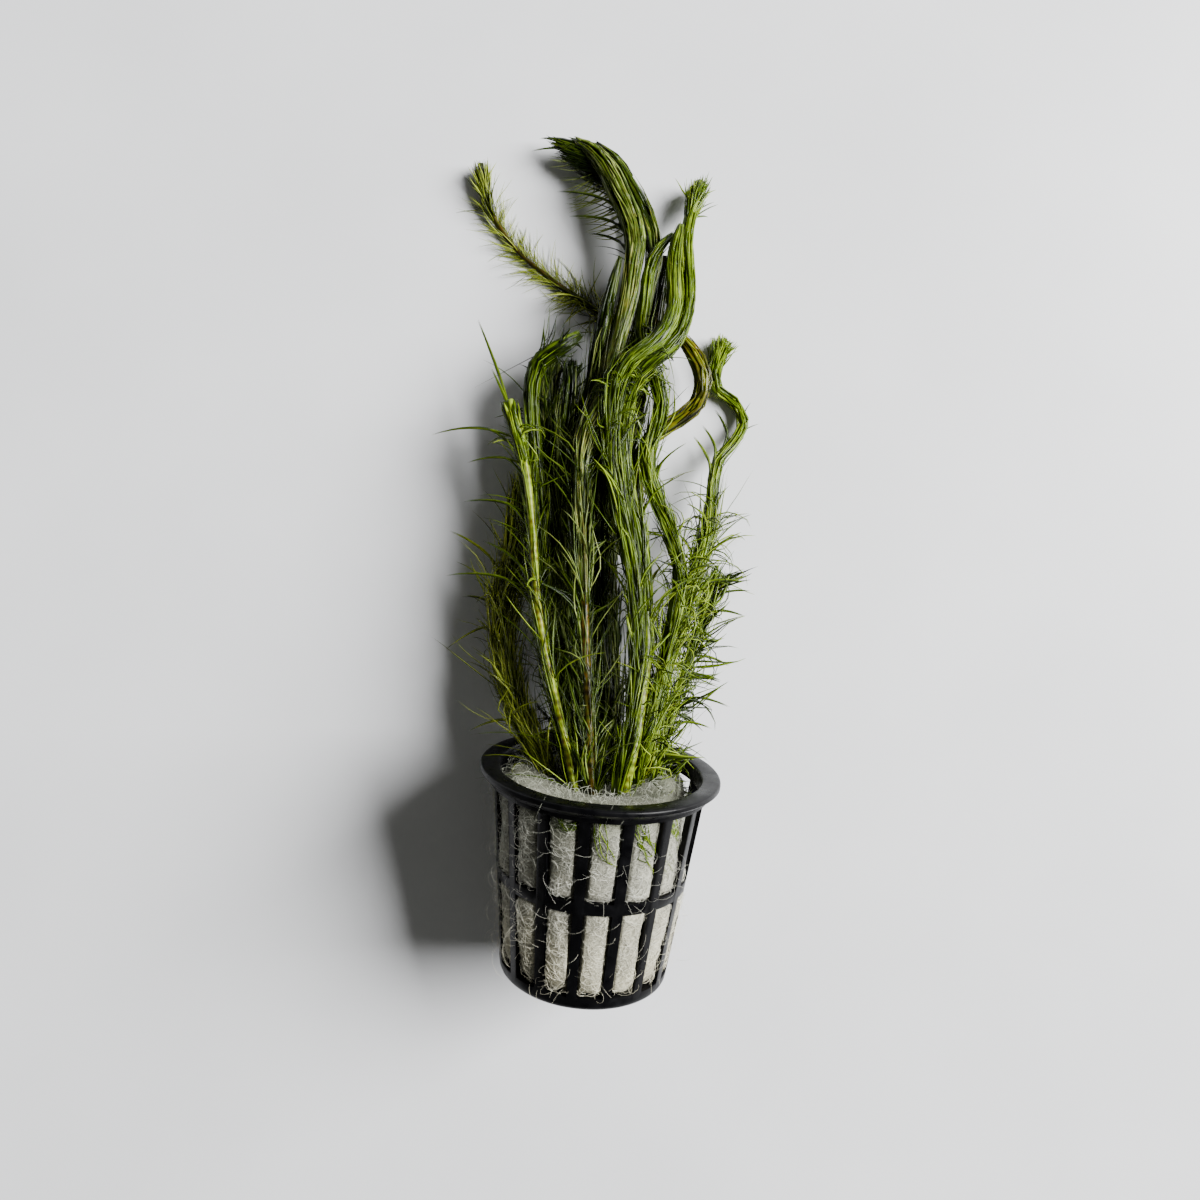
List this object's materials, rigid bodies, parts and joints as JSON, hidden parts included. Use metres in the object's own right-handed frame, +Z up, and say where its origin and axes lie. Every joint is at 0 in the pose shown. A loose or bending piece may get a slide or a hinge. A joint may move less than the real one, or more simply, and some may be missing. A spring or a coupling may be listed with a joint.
{
  "type": "potted mayaca water plant",
  "caption": "Fine-leaved wet water plant in a small black slatted net pot packed with filter wool, lying on its side with its stems spread out from the mouth.",
  "frame": {"origin": "on the surface the object lies on, under the middle of its bounding box", "axes": "+Z up from the surface, +Y from the pot towards the stem tips, +X to the right seen from above with the tips away"},
  "size_m": [0.0746, 0.1948, 0.0514],
  "materials": {
    "pot_plastic": "black injection-moulded polypropylene with a satin skin",
    "wool": "matt tangled polyester filter wool",
    "green_stem": "wet fresh green leaves and stem",
    "dark_stem": "wet dark green leaves",
    "olive_stem": "wet olive to brown leaves and stem"
  },
  "bodies": {
    "root": {"net_pot": "pot_plastic", "filter_wool": "wool", "stem_bottle_brush": "olive_stem", "stem_loop": "olive_stem", "stem_outer_left": "olive_stem", "stem_feather": "dark_stem", "stem_feather_back": "dark_stem", "stem_back_left": "dark_stem", "stem_middle_left": "dark_stem", "stem_behind_feather": "dark_stem", "stem_back_middle": "dark_stem", "stem_wrap": "green_stem", "stem_wrap_inner": "green_stem", "stem_under_wrap": "green_stem", "stem_hook": "green_stem", "stem_bare_left": "green_stem", "stem_arch": "green_stem", "stem_right_leafy": "green_stem"}
  },
  "joints": []
}
